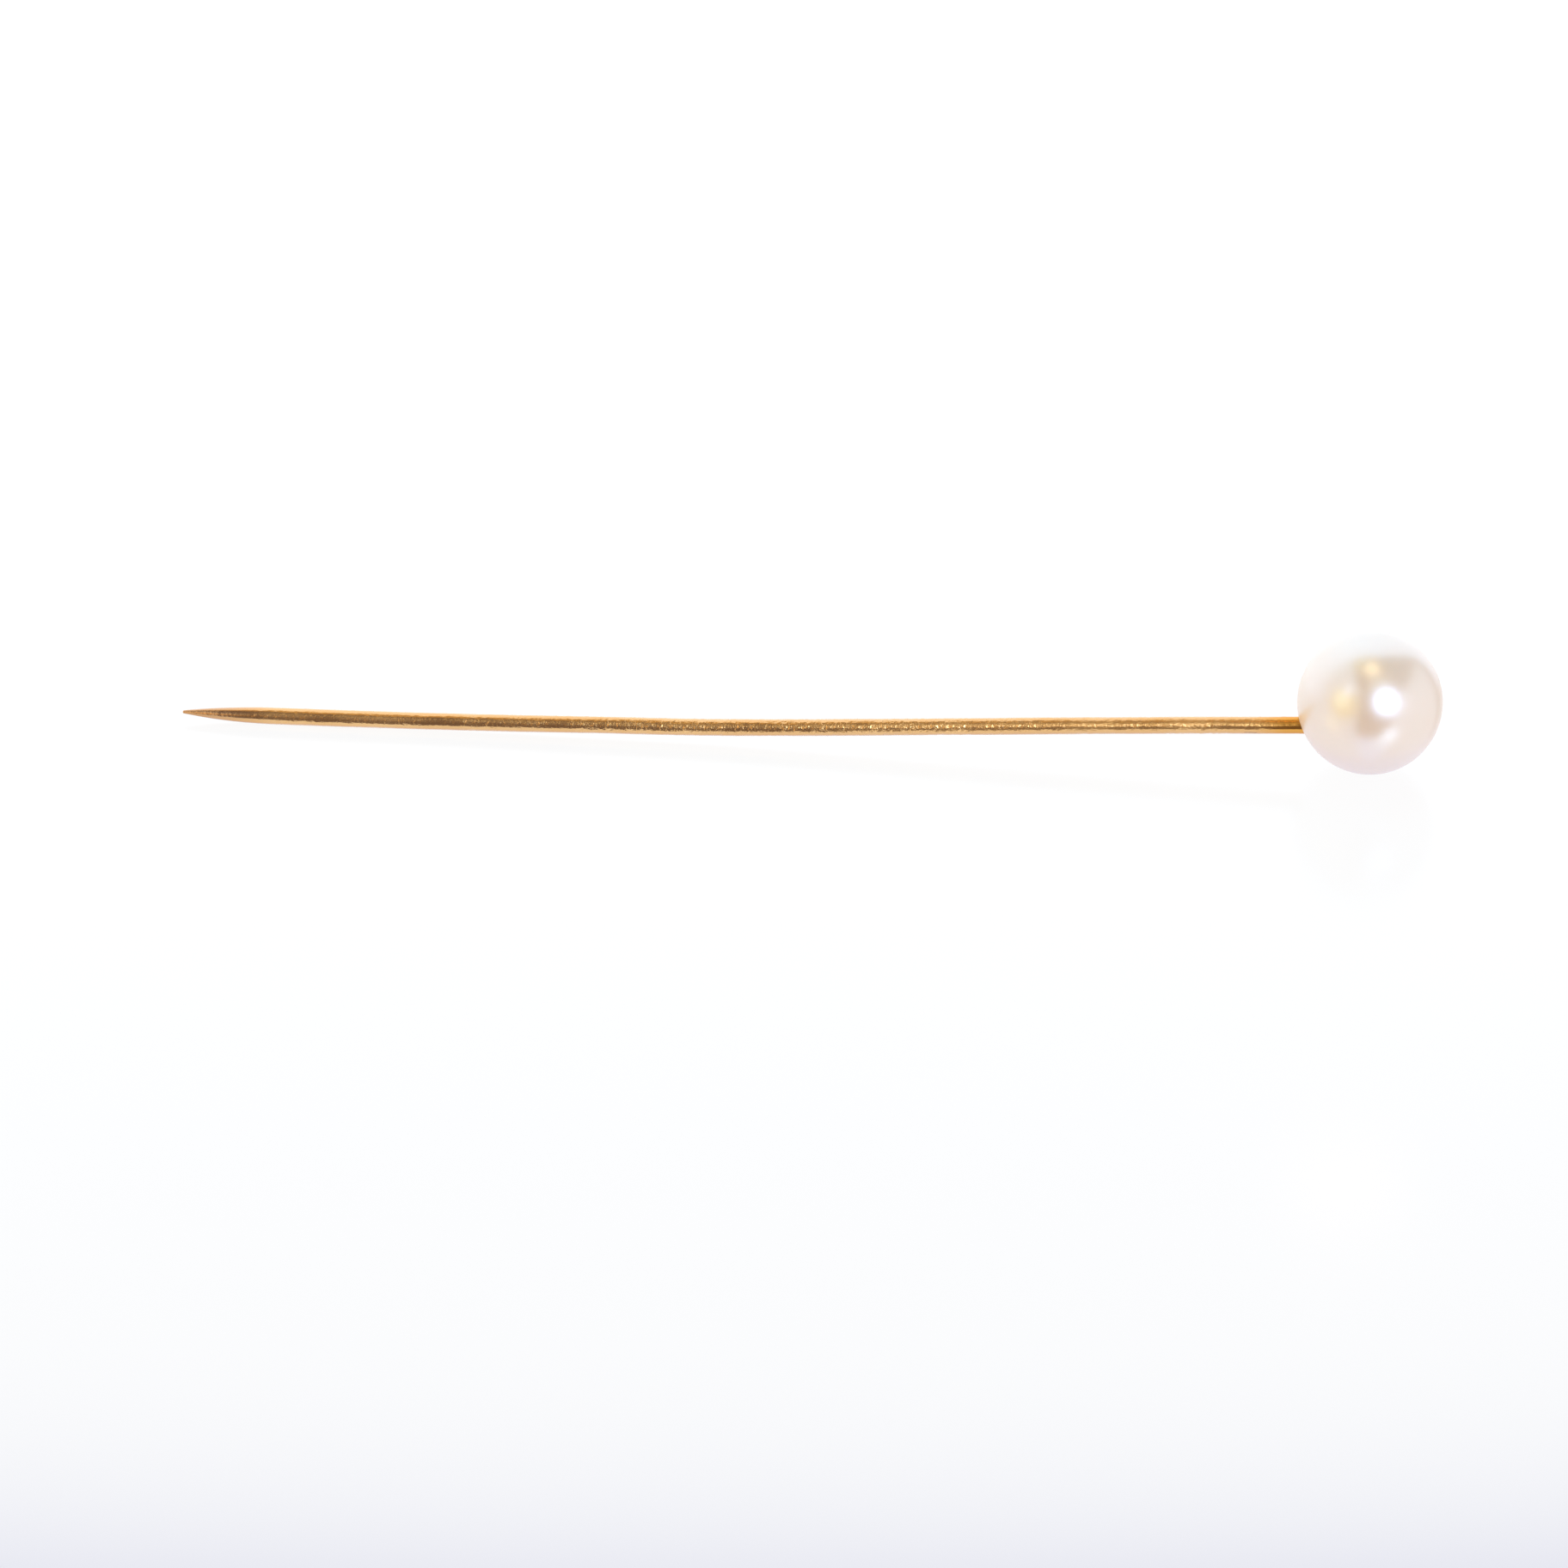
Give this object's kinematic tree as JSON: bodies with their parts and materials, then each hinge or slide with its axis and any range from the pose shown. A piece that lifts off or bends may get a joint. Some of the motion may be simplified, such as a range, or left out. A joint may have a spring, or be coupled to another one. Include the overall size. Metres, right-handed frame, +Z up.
{
  "type": "pearl-headed stick pin",
  "caption": "Slightly bowed gold wire pin with a ground point and a round pearl head cemented on its end, lying on its side; pins a hat, scarf or lapel.",
  "frame": {"origin": "middle of the pin's length and width, on the surface it lies on", "axes": "+X along the pin from its point to its pearl, +Z up off the surface it lies on, the bow of the wire in the XZ plane"},
  "size_m": [0.066, 0.0074, 0.0075],
  "materials": {
    "gold_wire": "polished",
    "nacre": "gloss",
    "shell_bead": "satin",
    "pearl_cement": "satin"
  },
  "bodies": {
    "root": {"pin_stem": "gold_wire", "pearl_nacre": "nacre", "pearl_nucleus": "shell_bead", "peg_cement": "pearl_cement"}
  },
  "joints": []
}
